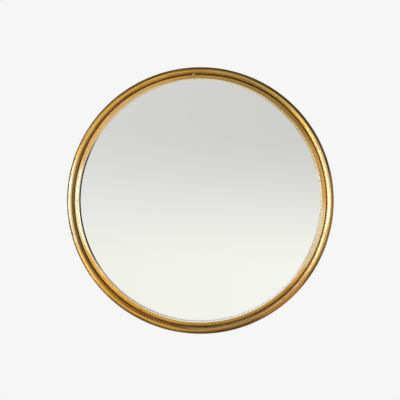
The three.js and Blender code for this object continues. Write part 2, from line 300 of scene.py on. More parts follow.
def turned(name, profile, segments=180, crease=crease_angle):
    """A piece turned about the mirror's axis. A profile point (r, d) goes to (r sin a, -d, r cos a) for each
    angle a. The profile closes on itself, or starts and ends on the axis."""
    angle = np.linspace(0, 2 * np.pi, segments, endpoint=False)
    radius, depth = np.asarray(profile).T[:, :, None]
    points = np.stack([radius * np.sin(angle), -depth + 0 * angle, radius * np.cos(angle)], axis=-1)
    return shell(name, points, grid_faces(len(points), segments, True, True), crease)


def coat(piece, finish):
    """Gives a piece one material."""
    piece.data.materials.clear()
    piece.data.materials.append(finish)


def moved(piece, change):
    """Puts every point (x, y, z) of a piece where change says."""
    place = np.empty(len(piece.data.vertices) * 3)
    piece.data.vertices.foreach_get("co", place)
    place = np.stack(change(*place.reshape(-1, 3).T), axis=-1)
    piece.data.vertices.foreach_set("co", place.ravel())
    piece.data.update()
    return piece


floor_profile = [(0, 0), (floor_radius, 0), (floor_radius, floor_thickness), (0, floor_thickness)]
floor = moved(turned("floor", floor_profile, 96), lambda x, y, z: (x, z, y + floor_level))
floor.data.flip_normals()
floor.visible_glossy = False
floor_paint = bpy.data.materials.new("floor_paint")
paint = Tree(floor_paint)
spot = paint.place()
across, along, _ = paint.parts(spot)
from_middle = (across * across + along * along) ** 0.5
edge_fade = paint.rise(from_middle, 0.5 * floor_radius, 0.98 * floor_radius, 1.0, 0.0)
underside = paint.node("ShaderNodeNewGeometry", {}, {}, "Backfacing")
mottle = paint.noise(spot, 30.0, 4.0)
paint.surface({
    "Base Color": paint.blend(mottle, (0.80, 0.80, 0.80), (0.84, 0.84, 0.84)),
    "Roughness": 0.9,
    "Alpha": edge_fade * (1 - underside),
})
coat(floor, floor_paint)


# Bead. Thin brass tube rolled into a ring, its two ends butted just left of the top. It is hollow, and
# stands in front of the rest of the frame as its rim.
bead_radius = 0.006
bead_wall = 0.001
joint_angle = math.radians(-2.6)
joint_slit = 0.00002
bead_ease = 0.00006
groove_circle = 0.2128


def bead_tube():
    """The point at angle a round the ring and angle b round the tube is (R + t cos b) out from the axis and
    t sin b in front of the tube's centre line. The tube radius t is the outside on the way round and the
    bore on the way back, and draws in by a quarter circle at each end."""
    half_slit = joint_slit / 2 / bead_circle
    ease = bead_ease / bead_circle
    turn = np.linspace(0, np.pi / 2, 5)
    entry = ease * (1 - np.cos(turn))
    draw = bead_ease * (1 - np.sin(turn))
    whole = 2 * np.pi - 2 * half_slit
    run = np.concatenate([entry, np.linspace(3 * ease, whole - 3 * ease, 300), whole - entry[::-1]])
    outside = bead_radius - np.concatenate([draw, np.zeros(300), draw[::-1]])
    way_back = np.linspace(whole, 0, 200)
    angle = joint_angle + half_slit + np.concatenate([run, way_back])[:, None]
    tube = np.concatenate([outside, np.full(200, bead_radius - bead_wall)])[:, None]
    around = np.linspace(0, 2 * np.pi, 40, endpoint=False)
    out = bead_circle + tube * np.cos(around)
    depth = bead_depth + tube * np.sin(around)
    points = np.stack([out * np.sin(angle), -depth, out * np.cos(angle)], axis=-1)
    return shell("bead", points, grid_faces(len(points), 40, True, True))


class BrassTree(Tree):
    """The nodes of a brass skin, which know where a point lies about the mirror's axis."""

    def __init__(self, owner):
        super().__init__(owner)
        self.spot = self.place()
        self.x, self.y, self.z = self.parts(self.spot)
        self.radius = (self.x * self.x + self.z * self.z) ** 0.5
        self.rightward = self.x / self.radius
        self.upward = self.z / self.radius
        self.mottle = self.noise(self.spot, 90.0, 5.0, 0.62)

    def toward(self, angle, low, high=1.0):
        """Rises to 1 toward an angle, as the cosine of what lies between goes from low to high."""
        a = math.radians(angle)
        return self.rise(self.rightward * math.sin(a) + self.upward * math.cos(a), low, high)

    def beyond(self, start, full):
        """Rises to 1 from one distance from the axis to another, outwards or inwards."""
        return self.rise(self.radius, start, full)

    def tinted(self, colour, *tints):
        """Lays tints over a colour in turn, each a pair of its share and its colour."""
        for share, tint in tints:
            colour = self.blend(share, colour, tint)
        return colour


def brass_tone_and_painted_light(brass):
    """The tone all over. The metal's own is cloudy, orange at the lower left, and mottled and freckled
    darker.
    Painted shade makes it olive at the upper right and the bottom. Painted highlights make gold and pale
    stretches on the flat ring, pale stretches at the left and the right, and a bright crest on the bead,
    brightest at the right. More painted light and shade lies at the lower right and on the ring's bottom."""
    toward, beyond = brass.toward, brass.beyond
    clouds = brass.noise(brass.spot, 13.0, 4.0, 0.62)
    freckle = brass.noise(brass.spot, 420.0, 3.0, 0.7)
    on_ring = beyond(0.2131, 0.2127)
    crest = beyond(0.2160, 0.2182) * beyond(0.2207, 0.2191)
    front = beyond(0.2133, 0.2150) * beyond(0.2208, 0.2192)
    inner_front = beyond(0.2129, 0.2136) * beyond(0.2182, 0.2165)
    inner_side = beyond(0.2129, 0.2133) * beyond(0.2184, 0.2166)
    # Painted shade: olive and darker at the upper right and at the bottom.
    olive_shade = toward(32, 0.70) * 0.88 + toward(168, 0.85) * 0.5
    orange = toward(-141, 0.94) * 0.75 + toward(133, 0.93) * 0.5 * beyond(0.213, 0.2135)
    # Painted sheen: gold stretches on the ring where its brushed highlights fall.
    gold_sheen = toward(-42, 0.78) * 0.6 + toward(-112, 0.93) * 0.5
    gold_sheen = gold_sheen + toward(112, 0.88) * 0.5 + toward(75, 0.94) * 0.4
    # Painted highlight along the bead's crest, brightest at the right.
    crest_highlight = 0.20 + 0.55 * toward(76, 0.6) - 0.20 * toward(180, 0.5) - 0.2 * toward(-22, 0.85)
    # Painted highlight: the bead pale at the left and at the right.
    front_highlight = crest * toward(-75, 0.86) * 0.35 + toward(86, 0.84) * front * 0.65
    # Painted highlight: pale at the left, and in mottled patches on the ring at the right.
    pale_highlight = toward(-92, 0.91) * (0.85 - 0.7 * inner_side)
    pale_highlight = pale_highlight + toward(106, 0.95) * brass.rise(brass.mottle, 0.42, 0.62) * on_ring
    return brass.tinted(
        brass.blend(brass.rise(clouds, 0.32, 0.68), (0.60, 0.33, 0.07), (0.79, 0.445, 0.098)),
        (olive_shade, (0.40, 0.245, 0.06)),
        (orange, (0.88, 0.44, 0.07)),
        (gold_sheen * on_ring, (1.0, 0.63, 0.22)),
        (crest * crest_highlight, (1.0, 0.66, 0.23)),
        (front_highlight, (1.0, 0.76, 0.47)),
        # Painted shade on the bead's front at the lower right, painted light on its inner flank there, a
        # painted highlight on the ring at the right and painted shade on the ring near the bottom.
        (toward(119, 0.92) * front * 0.75, (0.60, 0.41, 0.20)),
        (toward(152, 0.7) * inner_front * 0.8, (1.0, 0.67, 0.29)),
        (toward(107, 0.94) * on_ring * 0.8, (1.0, 0.81, 0.47)),
        (toward(160, 0.86) * on_ring * 0.4, (0.45, 0.25, 0.06)),
        (pale_highlight, (1.0, 0.85, 0.57)),
        (brass.rise(brass.mottle, 0.54, 0.74) * 0.3, (0.42, 0.21, 0.045)),
        (brass.rise(freckle, 0.66, 0.78) * 0.4, (0.24, 0.13, 0.035)),
    )


def flank_shade_and_seam(brass, colour):
    """Painted shade darkens both flanks of the bead, and a painted shadow deepens it outside at the lower
    right, where a painted light turns its outer edge orange. The seam is dark.
    """
    toward, beyond = brass.toward, brass.beyond
    on_bead = beyond(0.2127, 0.2133)
    low_right = toward(150, -0.4)
    # Painted shade: the bead's outer and inner flanks darker, least at the right.
    outer = beyond(0.2203 - 0.0016 * low_right, 0.2221 - 0.0010 * low_right)
    outer = outer * (0.60 + 0.08 * low_right + 0.2 * toward(-95, 0.3) + 0.22 * toward(45, 0.5))
    inner = beyond(0.2172, 0.2155) * toward(-68, 0.1) * 0.58
    flank_shade = (outer + inner) * (1 - 0.6 * toward(98, 0.93))
    across_seam = brass.x * math.cos(joint_angle) - brass.z * math.sin(joint_angle)
    seam = brass.rise(across_seam ** 2, 9e-7, 1e-8) * toward(math.degrees(joint_angle), 0.9)
    return brass.tinted(
        colour,
        (flank_shade * on_bead, brass.blend(low_right, (0.22, 0.12, 0.03), (0.32, 0.16, 0.035))),
        # A painted shadow outside the crest at the lower right, and a painted orange light on the outer edge
        # there.
        (beyond(0.2170, 0.2186) * toward(152, 0.84) * 0.85, (0.24, 0.10, 0.02)),
        (beyond(0.2190, 0.2206) * toward(138, 0.955), (0.85, 0.35, 0.09)),
        (seam * beyond(0.2186, 0.2168) * on_bead * 0.5, (0.16, 0.075, 0.02)),
    )


def groove_patina_and_shade(brass):
    """Painted shade, with some dark patina, in the line between the ring and the bead. It lies further in at
    the lower right, and is wider and further out at the left. Nothing behind the ring's back is darkened."""
    gap = brass.radius - groove_circle + 0.0019 * brass.toward(165, 0.15) - 0.0006 * brass.toward(-92, 0.5)
    gap = gap * (1 - 0.25 * brass.toward(-92, 0.2))
    in_depth = brass.rise(brass.y, -0.0262, -0.0238) * brass.rise(brass.y, -0.0225, -0.0230)
    return brass.rise(gap * gap, 2.6e-6, 0.4e-6) * in_depth


def lip_highlight_and_shadow(brass, colour, lip):
    """A painted highlight makes the metal beside the glass pale. A painted reflection of the room's corners
    makes it golden on the diagonals, and painted shade makes it brown at the right. A painted shadow darkens
    the lip's wall at the left."""
    toward = brass.toward
    diagonal = (brass.rightward * brass.upward) ** 2 * 4.0 * (1 - toward(150, 0.6))
    # Painted highlight on the lip, with a painted reflection of the room's corners and painted shade at the
    # right.
    lip_highlight_tone = brass.tinted(
        brass.blend(toward(180, 0.2), (0.94, 0.90, 0.82), (1.0, 0.98, 0.94)),
        (0.6 * diagonal, (0.86, 0.56, 0.22)),
        (0.85 * toward(58, 0.86) + 0.65 * toward(104, 0.87), (0.50, 0.37, 0.18)),
    )
    # Painted shadow on the lip's wall at the left.
    wall = brass.beyond(0.20430, 0.20418) * brass.rise(brass.y, -0.0253, -0.0249)
    return brass.tinted(colour, (lip, lip_highlight_tone), (wall * toward(-92, 0.80, 0.93), (0.06, 0.045, 0.02)))


def aged_brass(name, brushing=1.0):
    """Brass with an antiqued skin. Fine lines run round the mirror, and tilt the surface across themselves
    only, so that lights smear across them. The lip beside the glass is smooth, painted pale as a highlight,
    and less metallic toward the bottom."""
    skin = bpy.data.materials.new(name)
    brass = BrassTree(skin)
    line_place = brass.joined(brass.x * 14.0, brass.z * 14.0, brass.y * 2400.0)
    sockets = {"Vector": line_place, "W": brass.radius * 2400.0, "Scale": 1.0, "Roughness": 0.6}
    lines = brass.node("ShaderNodeTexNoise", {"noise_dimensions": "4D"}, sockets)
    groove_shade_patina = groove_patina_and_shade(brass)
    lip = brass.rise(brass.radius - 0.0005 * brass.upward ** 2, 0.2054, 0.2048)
    colour = flank_shade_and_seam(brass, brass_tone_and_painted_light(brass))
    # Painted shade, with some dark patina, along the groove.
    colour = brass.blend(groove_shade_patina * 0.95, colour, (0.09, 0.035, 0.005))
    tilt = (lines - 0.5) * 2.0 * brushing * (1 - lip)
    outward_line = brass.joined(brass.upward, 0.0, -brass.rightward)
    across = brass.vector("CROSS_PRODUCT", outward_line, brass.facing())
    tilted = brass.vector("ADD", brass.facing(), brass.vector("SCALE", across, tilt))
    rough_spots = 0.10 * brass.rise(brass.mottle, 0.45, 0.75)
    brass.surface({
        "Base Color": lip_highlight_and_shadow(brass, colour, lip),
        "Metallic": 1.0 - lip * brass.toward(162, 0.35, 0.75) * 0.75,
        "Roughness": 0.22 + rough_spots + groove_shade_patina * 0.2 - lip * 0.04,
        "Normal": brass.bump(brass.mottle * (1 - lip), 0.00005, brass.vector("NORMALIZE", tilted)),
    })
    return skin


def join(piece, finish, slot, body, *nodes):
    """Gives a piece its finish, and sets it on a body in place of its solids."""
    coat(piece, finish)
    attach(piece, body)
    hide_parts(*nodes)


bead_brass = aged_brass("bead_brass")
join(bead_tube(), bead_brass, "aged_brass", "mirror", "bead_tube")


# Sight ring. A flat brass bar rolled on edge inside the bead. Its face falls a little towards the groove,
# and its inner edge is turned down in a lip that stops just short of the glass. Solder closes the joint
# between its outer edge and the bead.
sight_inner = 0.2047
sight_outer = 0.2127
solder_width = 0.00035
sight_back = 0.023
sight_front = 0.0255
sight_fall = 0.001
lip_end = 0.02192
lip_width = 0.0006
lip_face = 0.2041


def eased(corners, radius, steps=6):
    """A closed outline with rounded corners. At a corner of half angle h the arc of radius r touches both
    sides r / tan h away, and its centre lies r / sin h along the bisector. One more point beyond each end
    of the arc keeps the flat sides flat."""
    corners = np.asarray(corners, float)
    radius = np.broadcast_to(radius, len(corners)).astype(float)[:, None]
    before = np.roll(corners, 1, axis=0) - corners
    after = np.roll(corners, -1, axis=0) - corners
    before /= np.linalg.norm(before, axis=1, keepdims=True)
    after /= np.linalg.norm(after, axis=1, keepdims=True)
    half = np.arccos(np.clip((before * after).sum(axis=1), -1, 1))[:, None] / 2
    reach = radius / np.tan(half)
    bisector = (before + after) / np.linalg.norm(before + after, axis=1, keepdims=True)
    centre = (corners + bisector * radius / np.sin(half))[:, None]
    start = (corners + before * reach)[:, None]
    end = (corners + after * reach)[:, None]
    sweep = (np.pi - 2 * half)[:, None]
    share = np.linspace(0, 1, steps + 1)[None, :, None]
    from_start = np.sin((1 - share) * sweep) * (start - centre)
    arc = (from_start + np.sin(share * sweep) * (end - centre)) / np.sin(sweep)
    lead_in = start + 0.25 * (before * reach)[:, None]
    lead_out = end + 0.25 * (after * reach)[:, None]
    return np.concatenate([lead_in, centre + arc, lead_out], axis=1).reshape(-1, 2)


sight_section = eased(
    [
        (lip_face, sight_front),
        (sight_outer + solder_width, sight_front - sight_fall),
        (sight_outer + solder_width, sight_back),
        (sight_inner + lip_width, sight_back),
        (sight_inner + lip_width, lip_end),
        (lip_face, lip_end),
    ],
    [0.0008, 0.0014, 0.00005, 0.0001, 0.0001, 0.0001],
)
sight_brass = aged_brass("sight_brass")
join(turned("sight_ring_face", sight_section, 360), sight_brass, "aged_brass", "mirror", "sight_ring")


# Braze. The drop of filler that closed the bead's joint ran into the groove beside it. It rises slowly from
# the left and stops short at the right.
braze_angle = math.radians(-3.35)
braze_length = 0.0095
braze_width = 0.0034
braze_height = 0.0015
braze_lift = 0.00003  # over the bead and the ring


def braze_drop():
    """A drop with its ends on the groove's line. At a share u from one end to the other its width and height
    follow sin(pi u^2.6)^0.8, so that it peaks late. Points inside the bead or the ring are pressed out."""
    u = (1 - np.cos(np.linspace(0, np.pi, 40)))[:, None] / 2
    v = np.linspace(0, 2 * np.pi, 28, endpoint=False)[None, :]
    swell = np.sin(np.pi * u ** 2.6) ** 0.8
    along = (u - 0.5) * braze_length + 0 * v
    out = sight_outer + swell * np.cos(v) * braze_width / 2
    depth = sight_front - sight_fall + swell * np.sin(v) * braze_height
    face = sight_front - sight_fall * (out - sight_inner) / (sight_outer - sight_inner)
    depth = np.maximum(depth, face + braze_lift)
    away = np.hypot(out - bead_circle, depth - bead_depth)
    push = np.maximum(1, (bead_radius + braze_lift) / away)
    out = bead_circle + (out - bead_circle) * push
    depth = bead_depth + (depth - bead_depth) * push
    angle = braze_angle + along / sight_outer
    points = np.stack([out * np.sin(angle), -depth, out * np.cos(angle)], axis=-1)
    points[0] = points[0].mean(axis=0)
    points[-1] = points[-1].mean(axis=0)
    return shell("braze_drop", points, grid_faces(40, 28, False, True), 60)


braze_finish = bpy.data.materials.new("braze_finish")
filler = Tree(braze_finish)
spot = filler.place()
lumps = filler.noise(spot, 900.0, 4.0)
filler.surface({
    "Base Color": filler.blend(lumps, (0.46, 0.30, 0.10), (0.62, 0.43, 0.18)),
    "Metallic": 1.0,
    "Roughness": filler.rise(lumps, 0.2, 0.8, 0.3, 0.55),
    "Normal": filler.bump(lumps, 0.0001),
})
join(braze_drop(), braze_finish, "aged_brass", "mirror", "joint_braze")


# Band. A brass strip rolled on edge and brazed behind the sight ring. The glass, its packing and the board
# drop into it from behind.
wall_space = 0.007
seat_gap = 0.0003
band_wall = 0.002
band_outer = sight_outer
band_inner = band_outer - band_wall
band_front = sight_back - seat_gap
band_corners = [
    (band_inner, band_front),
    (band_outer, band_front),
    (band_outer, wall_space),
    (band_inner, wall_space),
]
band_brass = aged_brass("band_brass")
join(turned("band", eased(band_corners, 0.0003), 240), band_brass, "aged_brass", "mirror", "frame_band")


# Glass. A disc of 3 mm float glass slumped to a shallow dome, silvered and painted on its back, its edge
# ground to an arris. The packing and the board press it on the gasket.
dome_radius = 0.700
glass_thickness = 0.003
silver_radius = dome_radius - glass_thickness
glass_radius = 0.2092
arris = 0.0004
gasket_thickness = 0.0008  # at its thin inner edge
glass_seat = sight_back - gasket_thickness - 2 * seat_gap
dome_centre = glass_seat - math.sqrt(dome_radius ** 2 - sight_inner ** 2)


def dome(radius, sphere):
    """The depth of a sphere about the dome's centre, at a distance from the axis."""
    return dome_centre + np.sqrt(sphere ** 2 - np.asarray(radius) ** 2)


face_radii = np.linspace(0, glass_radius - arris, 60)
back_radii = np.linspace(glass_radius - arris, 0, 30)
glass_profile = np.concatenate([
    np.stack([face_radii, dome(face_radii, dome_radius)], axis=1),
    [(glass_radius, dome(glass_radius, dome_radius) - arris)],
    [(glass_radius, dome(glass_radius, silver_radius) + arris)],
    np.stack([back_radii, dome(back_radii, silver_radius)], axis=1),
])
silvering = bpy.data.materials.new("silvering")
silver = Tree(silvering)
spot = silver.place()
x, y, z = silver.parts(spot)
radius = (x * x + z * z) ** 0.5
_, facing_back, _ = silver.parts(silver.facing())
haze = silver.noise(spot, 9.0, 4.0, 0.6)
specks = silver.noise(spot, 420.0, 2.0, 0.6)
edge_bloom = silver.rise(radius, 0.199, 0.2046) * silver.rise(haze, 0.4, 0.7)
backing = silver.rise(facing_back, 0.2, 0.3)
tint = silver.blend(haze, (0.945, 0.952, 0.935), (0.955, 0.958, 0.945))
tint = silver.blend(edge_bloom * 0.25, tint, (0.80, 0.80, 0.76))
tint = silver.blend(silver.rise(specks, 0.77, 0.80) * 0.5, tint, (0.5, 0.5, 0.48))
silver.surface({
    "Base Color": silver.blend(backing, tint, (0.33, 0.335, 0.34)),
    "Metallic": 1 - backing,
    "Roughness": backing * 0.6,
    "Normal": silver.bump(silver.noise(spot, 16.0, 1.0), 0.00002),
})
join(turned("domed_glass", glass_profile, 240, 60), silvering, "silvered_glass", "mirror", "convex_glass")


# Gasket and packing. A wedge of black foam lies between the flange and the glass, and a felt ring pads the
# glass off the board.
gasket_inner = sight_inner + lip_width + seat_gap
gasket_corners = [
    (gasket_inner, band_front),
    (glass_radius, band_front),
    (glass_radius, float(dome(glass_radius, dome_radius)) + seat_gap),
    (gasket_inner, float(dome(gasket_inner, dome_radius)) + seat_gap),
]
foam = bpy.data.materials.new("black_foam")
cells = Tree(foam)
spot = cells.place()
pores = cells.node("ShaderNodeTexVoronoi", {}, {"Vector": spot, "Scale": 2600.0})
cells.surface({
    "Base Color": cells.blend(pores, (0.008, 0.008, 0.008), (0.03, 0.03, 0.03)),
    "Roughness": 0.95,
    "Normal": cells.bump(pores, 0.0002),
})
join(turned("gasket", eased(gasket_corners, 0.0002, 3), 180), foam, "black_foam", "mirror", "glass_gasket")

packing_width = 0.012
packing_inner = glass_radius - packing_width
board_thickness = 0.005
board_front = wall_space + board_thickness
packing_corners = [
    (packing_inner, float(dome(packing_inner, silver_radius)) - seat_gap),
    (glass_radius, float(dome(glass_radius, silver_radius)) - seat_gap),
    (glass_radius, board_front + seat_gap),
    (packing_inner, board_front + seat_gap),
]
felt = bpy.data.materials.new("grey_felt")
wool = Tree(felt)
spot = wool.place()
fibres = wool.noise(spot, 1500.0, 6.0, 0.7)
wool.surface({
    "Base Color": wool.blend(fibres, (0.05, 0.052, 0.055), (0.16, 0.16, 0.165)),
    "Roughness": 1.0,
    "Normal": wool.bump(fibres, 0.0003),
})
join(turned("packing", eased(packing_corners, 0.0006), 180), felt, "grey_felt", "mirror", "packing_ring")


# Back board. A disc of hard fibreboard painted black, drilled for the two hanger bolts. The paint is thin at
# its sawn edge and rubbed where it has stood on the floor.
board_edge_space = 0.0008
board_radius = band_inner - board_edge_space
hanger_inset = 0.047
hanger_circle = board_radius - hanger_inset
hanger_angle = math.radians(42.5)
hanger_x = hanger_circle * math.sin(hanger_angle)
hanger_z = hanger_circle * math.cos(hanger_angle)
hanger_places = {"left": (-hanger_x, hanger_z), "right": (hanger_x, hanger_z)}
bolt_drop = 0.0068  # from the D-ring's bar to the bolt
screw_hole = 0.0045


def drilled(piece, places):
    """Cuts a round hole through a piece, along the mirror's axis, at each place (x, z)."""
    angle = np.linspace(0, 2 * np.pi, 48, endpoint=False)
    for x, z in places:
        reach_x = screw_hole / 2 * np.sin(angle)
        reach_z = screw_hole / 2 * np.cos(angle)
        ring = np.stack([x + reach_x, 0 * angle, z + reach_z], axis=-1)
        rod = np.stack([ring - (0, 0.08, 0), ring + (0, 0.01, 0)])
        ends = [list(range(47, -1, -1)), list(range(48, 96))]
        cutter = shell("cutter", rod, grid_faces(2, 48, False, True) + ends)
        cut = piece.modifiers.new("hole", "BOOLEAN")
        cut.object = cutter
        cut.solver = "EXACT"
        evaluated = piece.evaluated_get(bpy.context.evaluated_depsgraph_get())
        mesh = bpy.data.meshes.new_from_object(evaluated)
        piece.modifiers.clear()
        bpy.data.objects.remove(cutter)
        piece.data = mesh
    piece.data.shade_smooth()
    piece.data.set_sharp_from_angle(angle=math.radians(crease_angle))
    return piece


board_corners = [(0, board_front), (board_radius, board_front), (board_radius, wall_space), (0, wall_space)]
board = turned("board", eased(board_corners, [0, 0.0005, 0.0005, 0], 4), 180)
board = drilled(board, [(x, z - bolt_drop) for x, z in hanger_places.values()])
black_board = bpy.data.materials.new("black_board")
fibre = Tree(black_board)
spot = fibre.place()
x, y, z = fibre.parts(spot)
radius = (x * x + z * z) ** 0.5
strands = fibre.noise(fibre.joined(x, y * 3.0, z * 0.35), 420.0, 6.0, 0.65)
brushed = fibre.noise(fibre.joined(x * 0.12, y, z * 2.2), 160.0, 4.0, 0.6)
scuffs = fibre.noise(spot, 26.0, 5.0, 0.7)
dust = fibre.rise(scuffs, 0.55, 0.78)
bare = fibre.rise(radius, 0.2088, 0.2097) * fibre.rise(strands, 0.35, 0.6)
colour = fibre.blend(strands, (0.012, 0.0115, 0.011), (0.034, 0.031, 0.028))
colour = fibre.blend(dust * 0.35, colour, (0.085, 0.08, 0.072))
colour = fibre.blend(bare * 0.7, colour, (0.13, 0.075, 0.038))
fibre.surface({
    "Base Color": colour,
    "Roughness": 0.62 + 0.2 * brushed + dust * 0.15,
    "Normal": fibre.bump(strands * 0.5 + brushed * 0.5, 0.0003),
})
join(board, black_board, "black_board", "mirror", "back_board")


# Lugs. Six brass tabs bent from strip. Each foot is brazed to the outside of the band, and each flange,
# level with the board's back, is drilled for a turn button's screw. The bead hides them from the front.
station_angles = np.radians(30 + 60 * np.arange(6))
lug_inner = band_outer + seat_gap
lug_outer = 0.224
lug_thickness = 0.002
lug_headroom = 0.002  # between a lug and the bead
lug_foot = bead_depth - bead_radius - lug_headroom
lug_width = 0.014
pivot_circle = (lug_inner + lug_outer) / 2


def carried(name, outline, low, high, ease, place):
    """A closed outline carried straight from one height to another, with both rims rounded. At a turn t of a
    quarter circle the outline draws in by ease (1 - sin t) along its normals while the height is
    ease (1 - cos t) from its end. place turns outline and height into X, Y and Z."""
    tangent = np.roll(outline, -1, axis=0) - np.roll(outline, 1, axis=0)
    normal = np.stack([tangent[:, 1], -tangent[:, 0]], axis=1)
    normal /= np.linalg.norm(tangent, axis=1, keepdims=True)
    far = np.roll(outline, -1, axis=0)
    area = (outline[:, 0] * far[:, 1] - far[:, 0] * outline[:, 1]).sum() / 2
    turn = np.linspace(0, np.pi / 2, 5)
    inset = ease * np.concatenate([[1.6], 1 - np.sin(turn), [0]])
    rise = ease * np.concatenate([[0], 1 - np.cos(turn), [1.6]])
    inset = np.concatenate([inset, inset[::-1]])[:, None, None]
    level = np.concatenate([low + rise, high - rise[::-1]])[:, None]
    flat = outline[None] - normal[None] * inset * np.sign(area)
    points = np.stack(np.broadcast_arrays(*place(flat[..., 0], flat[..., 1], level)), axis=-1)
    rows, columns = points.shape[:2]
    ends = [list(range(columns - 1, -1, -1)), list(range((rows - 1) * columns, rows * columns))]
    return shell(name, points, grid_faces(rows, columns, False, True) + ends)


def swung(piece, angle):
    """Turns a piece about the mirror's axis from the top to its station."""
    sine, cosine = math.sin(angle), math.cos(angle)
    return moved(piece, lambda x, y, z: (x * cosine + z * sine, y, z * cosine - x * sine))


lug_section = eased(
    [
        (lug_inner, wall_space),
        (lug_outer, wall_space),
        (lug_outer, wall_space + lug_thickness),
        (lug_inner + lug_thickness, wall_space + lug_thickness),
        (lug_inner + lug_thickness, lug_foot),
        (lug_inner, lug_foot),
    ],
    [0.0014, 0.0003, 0.0003, 0.0008, 0.0003, 0.0003],
)
lug_brass = aged_brass("lug_brass", brushing=0.6)
lug_sides = (-lug_width / 2, lug_width / 2)
for number, angle in enumerate(station_angles, 1):
    lug = carried(f"lug_{number}", lug_section, *lug_sides, 0.0003, lambda r, d, w: (w, -d, r))
    lug = swung(drilled(lug, [(0, pivot_circle)]), angle)
    join(lug, lug_brass, "aged_brass", "mirror", f"button_lug_{number}")


# Turn buttons. Flat zinc-plated steel plates with round ends. Each pivots on its lug's screw, and its tip
# bears on the board, so that a half turn frees the board.
button_reach = 0.021
button_end = 0.005
button_back = 0.0055
button_front = 0.0067


def zinc_plate(name, tone=0.0):
    """Bright zinc, with a fine spangle, faint yellow and blue drifts and dull handled patches."""
    plated = bpy.data.materials.new(name)
    zinc = Tree(plated)
    spot = zinc.place()
    spangle = zinc.node("ShaderNodeTexVoronoi", {}, {"Vector": spot, "Scale": 1400.0})
    drift = zinc.noise(spot, 130.0, 3.0, 0.55)
    handled = zinc.noise(spot, 60.0, 5.0, 0.65)
    fine = zinc.noise(spot, 2400.0, 3.0, 0.6)
    colour = zinc.blend(zinc.rise(drift, 0.35, 0.65), (0.56, 0.59, 0.62), (0.66, 0.62, 0.52))
    colour = zinc.blend(spangle * 0.25, colour, (0.72, 0.72, 0.71))
    colour = zinc.blend(zinc.rise(handled, 0.55, 0.75) * 0.55, colour, (0.30, 0.29, 0.27))
    zinc.surface({
        "Base Color": colour,
        "Metallic": 1.0,
        "Roughness": 0.30 + tone + 0.12 * fine + zinc.rise(handled, 0.5, 0.75) * 0.2,
        "Normal": zinc.bump(fine, 0.00003),
    })
    return plated


def stadium(top, bottom, radius, steps=28):
    """An outline with two round ends, whose centres are at heights top and bottom."""
    arc = np.linspace(-np.pi / 2, np.pi / 2, steps)
    upper = np.stack([radius * np.sin(arc), top + radius * np.cos(arc)], axis=1)
    lower = np.stack([-radius * np.sin(arc), bottom - radius * np.cos(arc)], axis=1)
    return np.concatenate([upper, lower])


button_zinc = zinc_plate("button_zinc")
button_outline = stadium(pivot_circle, pivot_circle - button_reach + button_end, button_end)
button_sides = (button_back, button_front)
for number, angle in enumerate(station_angles, 1):
    name = f"button_plate_{number}"
    button = carried(name, button_outline, *button_sides, 0.0003, lambda x, z, d: (x, -d, z))
    button = swung(drilled(button, [(0, pivot_circle)]), angle)
    join(button, button_zinc, "zinc_plate", f"button_{number}", f"turn_button_{number}")


# Screws, bolts and washers. Zinc-plated M4 pan heads with a cross recess. Six hold the turn buttons to the
# lugs, and two longer ones go through the hangers and the board to nuts inside.
screw_radius = 0.002
button_screw_length = 0.008
head_radius = 0.0038
head_height = 0.0022
crown_radius = 0.00245
crown_rise = 0.00006
shoulder_height = 0.0012
recess_depth = 0.0012
recess_reach = 0.0021
recess_half = 0.00062
recess_flank = 0.00028
recess_end = 0.0004
point_radius = 0.0015
pitch = 0.0007
thread_depth = 0.00033
washer_back = 0.0044
washer_thickness = 0.0008
washer_radius = 0.0045


def pan_head_screw(name, x, z, under_head, tip, turn):
    """Rows of circles from the crown over the head and down the thread. On the crown the depth grows inside
    two crossed arms. On the shank the radius falls by a wave of depth / pitch less the angle in turns."""
    angle = np.linspace(0, 2 * np.pi, 64, endpoint=False)[None, :]
    top = under_head - head_height
    crown = np.linspace(0, crown_radius, 18)
    bend = np.linspace(0, np.pi / 2, 8)[1:]
    shoulder = crown_radius + (head_radius - crown_radius) * np.sin(bend)
    fall = top + shoulder_height * (1 - np.cos(bend)) + crown_rise
    crown_depth = top + crown_rise * (crown / crown_radius) ** 2
    edge = [head_radius, head_radius, head_radius - 0.0001, screw_radius + 0.0002, screw_radius]
    edge_depth = [fall[-1] + 0.0003, under_head - 0.0001, under_head, under_head, under_head + 0.0002]
    shank = np.linspace(under_head + 0.0004, tip - 0.0004, int((tip - under_head) / pitch * 6))
    thread = np.full(len(shank), screw_radius)
    radius = np.concatenate([crown, shoulder, edge, thread, [point_radius, 0]])[:, None]
    depth = np.concatenate([crown_depth, fall, edge_depth, shank, [tip, tip]])[:, None]
    local_x = radius * np.sin(angle - turn)
    local_z = radius * np.cos(angle - turn)
    near = np.minimum(abs(local_x), abs(local_z))
    far = np.maximum(abs(local_x), abs(local_z))
    arm = np.clip((recess_half - near) / recess_flank, 0, 1)
    arm = arm * np.clip((recess_reach - far) / recess_end, 0, 1)
    on_crown = (np.arange(len(radius)) < len(crown))[:, None]
    sink = recess_depth * arm * (3 - 2 * arm) * arm * on_crown
    cycle = (depth / pitch - angle / (2 * np.pi)) % 1
    threaded = ((depth > under_head + 0.0003) & (depth < tip - 0.0003)) * 1.0
    radius = radius - threaded * thread_depth * abs(2 * cycle - 1)
    points = np.stack([x + radius * np.sin(angle), -depth - sink, z + radius * np.cos(angle)], axis=-1)
    return shell(name, points, grid_faces(len(points), 64, True, True), 40)


